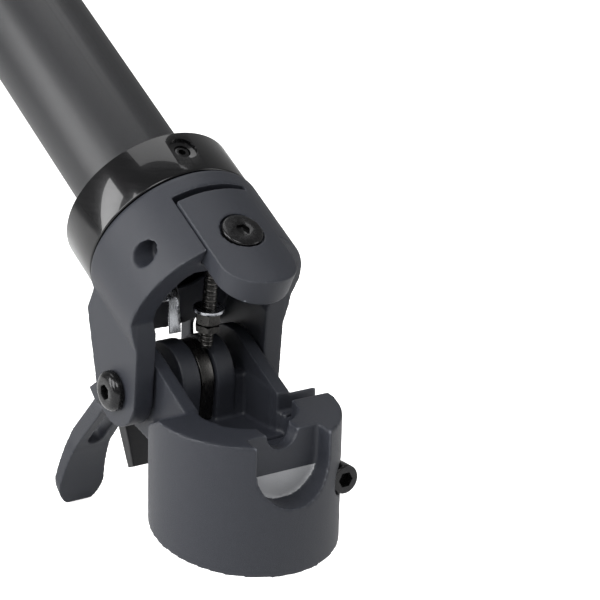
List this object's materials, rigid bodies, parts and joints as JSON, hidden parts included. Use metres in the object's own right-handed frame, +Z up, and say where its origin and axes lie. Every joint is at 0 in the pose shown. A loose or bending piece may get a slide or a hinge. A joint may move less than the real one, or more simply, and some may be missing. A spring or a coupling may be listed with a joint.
{
  "type": "folding scooter stem",
  "caption": "Folding stem for a kick scooter: split steerer clamp, hinge, head with latch plate, quick-release lever with safety catch, locking collar and long tube.",
  "frame": {"origin": "on the steerer clamp's axis in the plane of its sloped foot", "axes": "+Z up the clamp's axis, -Y towards the latch pocket, +Y the side the stem folds over, X along the hinge pin"},
  "size_m": [0.0682, 0.7284, 0.4969],
  "materials": {
    "casting": "fine powder coat",
    "anodised": "black anodised, fine sparkle",
    "gloss_black": "gloss black anodised",
    "black_steel": "black oiled steel",
    "steel": "dark brushed steel",
    "plastic": "matte"
  },
  "bodies": {
    "base": {"clamp_base": "casting", "pinch_bolt": "black_steel", "pinch_nut": "black_steel", "set_screw": "black_steel", "hinge_bolt_left": "black_steel", "hinge_bolt_right": "black_steel", "hinge_washer_left": "steel", "hinge_washer_right": "steel", "centre_pin": "steel", "strike_plate": "steel", "nose_pin": "steel"},
    "stem": {"hinge_head": "casting", "lock_collar": "gloss_black", "collar_screw": "black_steel", "latch_plate": "casting", "latch_screw": "black_steel", "stem_tube": "anodised", "tube_plug": "plastic", "draw_pin": "steel", "release_leaf": "steel", "lever_pin": "steel"},
    "rod": {"draw_rod": "steel", "draw_nut": "steel", "draw_locknut": "steel", "draw_washer": "steel"},
    "lever": {"lever_handle": "casting", "lever_bumper": "plastic", "catch_pin": "steel"},
    "catch": {"safety_catch": "plastic"}
  },
  "joints": [
    {"name": "stem_fold", "type": "hinge", "parent": "base", "child": "stem", "pos_m": [0, 0.0365, 0.044], "axis": [-1, 0, 0], "range_deg": [-61, 25]},
    {"name": "lever_release", "type": "hinge", "parent": "stem", "child": "lever", "pos_m": [0, 0.05588, 0.04617], "axis": [-1, 0, 0], "range_deg": [-75.5, 0]},
    {"name": "catch_swing", "type": "hinge", "parent": "lever", "child": "catch", "pos_m": [0, 0.0777, 0.01794], "axis": [1, 0, 0], "range_deg": [-112, 0]},
    {"name": "rod_swing", "type": "hinge", "parent": "stem", "child": "rod", "pos_m": [0, 0.02082, 0.09705], "axis": [-1, 0, 0], "range_deg": [-25.01, 10.25]}
  ],
  "couplings": [
    {"joint": "rod_swing", "follows": "stem_fold", "ratio": 0.41}
  ]
}
